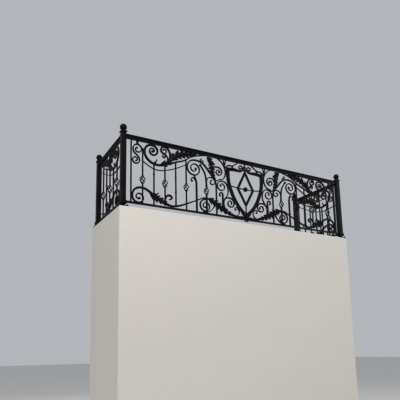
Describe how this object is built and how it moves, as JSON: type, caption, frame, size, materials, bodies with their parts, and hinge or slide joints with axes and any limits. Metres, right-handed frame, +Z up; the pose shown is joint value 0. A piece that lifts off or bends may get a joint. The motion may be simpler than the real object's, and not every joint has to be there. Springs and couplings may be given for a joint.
{
  "type": "iron balcony railing",
  "caption": "U-shaped wrought iron balcony railing: scrolled front panel with a plain shield, return panels, posts with ball finials and base plates.",
  "frame": {"origin": "on the floor, midway between the four posts", "axes": "+X along the front to the right as seen from outside, +Y from the front panel back to the wall, +Z up"},
  "size_m": [4.354, 1.29, 1.248],
  "materials": {
    "black_iron": "satin"
  },
  "bodies": {
    "root": {"post_front_left": "black_iron", "post_front_right": "black_iron", "post_rear_left": "black_iron", "post_rear_right": "black_iron", "base_front_left": "black_iron", "base_front_right": "black_iron", "base_rear_left": "black_iron", "base_rear_right": "black_iron", "finial_front_left": "black_iron", "finial_front_right": "black_iron", "finial_rear_left": "black_iron", "finial_rear_right": "black_iron", "handrail_front": "black_iron", "handrail_left": "black_iron", "handrail_right": "black_iron", "top_bar_front": "black_iron", "top_bar_left": "black_iron", "top_bar_right": "black_iron", "bottom_rail_front": "black_iron", "bottom_rail_left": "black_iron", "bottom_rail_right": "black_iron", "bars_front_left": "black_iron", "bars_front_right": "black_iron", "baskets_front_left": "black_iron", "baskets_front_right": "black_iron", "balusters_left": "black_iron", "balusters_right": "black_iron", "upper_scrolls_front_left": "black_iron", "upper_scrolls_front_right": "black_iron", "upper_scrolls_left": "black_iron", "upper_scrolls_right": "black_iron", "lower_scrolls_front_left": "black_iron", "lower_scrolls_front_right": "black_iron", "lower_scrolls_left": "black_iron", "lower_scrolls_right": "black_iron", "leaves_front_left": "black_iron", "leaves_front_right": "black_iron", "leaves_left": "black_iron", "leaves_right": "black_iron", "shield_rim": "black_iron", "shield_lozenge": "black_iron", "shield_crest": "black_iron", "shield_palmette": "black_iron"}
  },
  "joints": []
}
